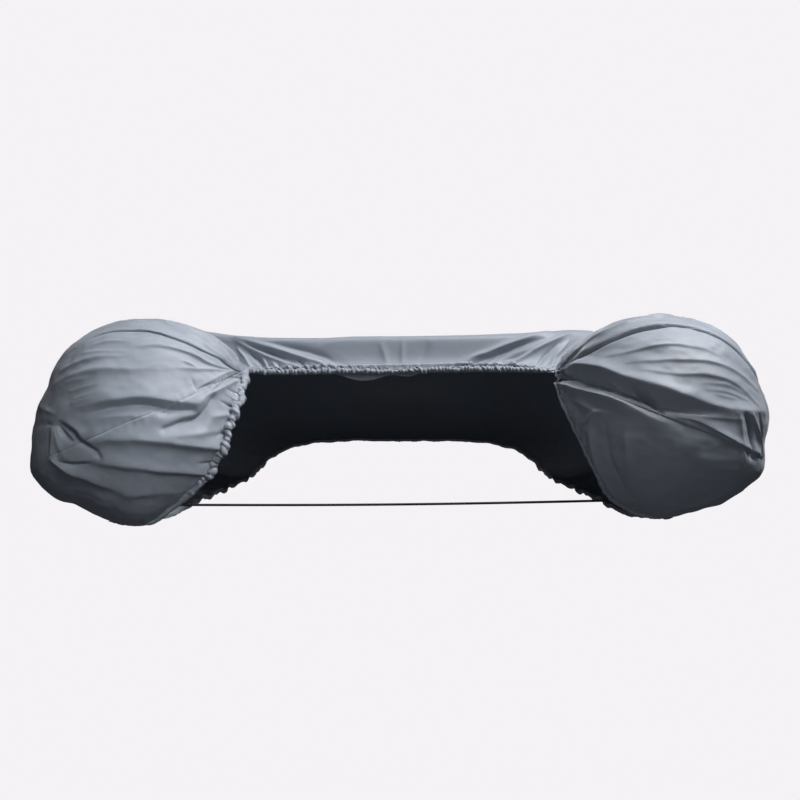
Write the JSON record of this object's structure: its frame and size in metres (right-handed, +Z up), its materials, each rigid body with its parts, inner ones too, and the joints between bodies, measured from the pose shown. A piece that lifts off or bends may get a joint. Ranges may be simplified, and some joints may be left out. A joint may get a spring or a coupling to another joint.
{
  "type": "inflatable boat cover",
  "caption": "Fitted cover for an inflatable boat: a deck cloth over both tubes with gathered hems, rounded two-panel bags over the tube ends and a drawcord between them.",
  "frame": {"origin": "where the boat holds the cover up: on the underside of the deck cloth, on the centre line, halfway between the bow and the tube ends", "axes": "+Y to the bow, +Z up, +X to the right as seen from the stern"},
  "size_m": [1.4895, 3.1476, 0.5287],
  "materials": {
    "cover_cloth": "plain-woven coated polyester, blue-grey, slight satin sheen",
    "cord": "black braided cord, matt"
  },
  "bodies": {
    "root": {"deck_panel": "cover_cloth", "cap_upper_left": "cover_cloth", "cap_upper_right": "cover_cloth", "cap_lower_left": "cover_cloth", "cap_lower_right": "cover_cloth", "drawcord": "cord"}
  },
  "joints": []
}
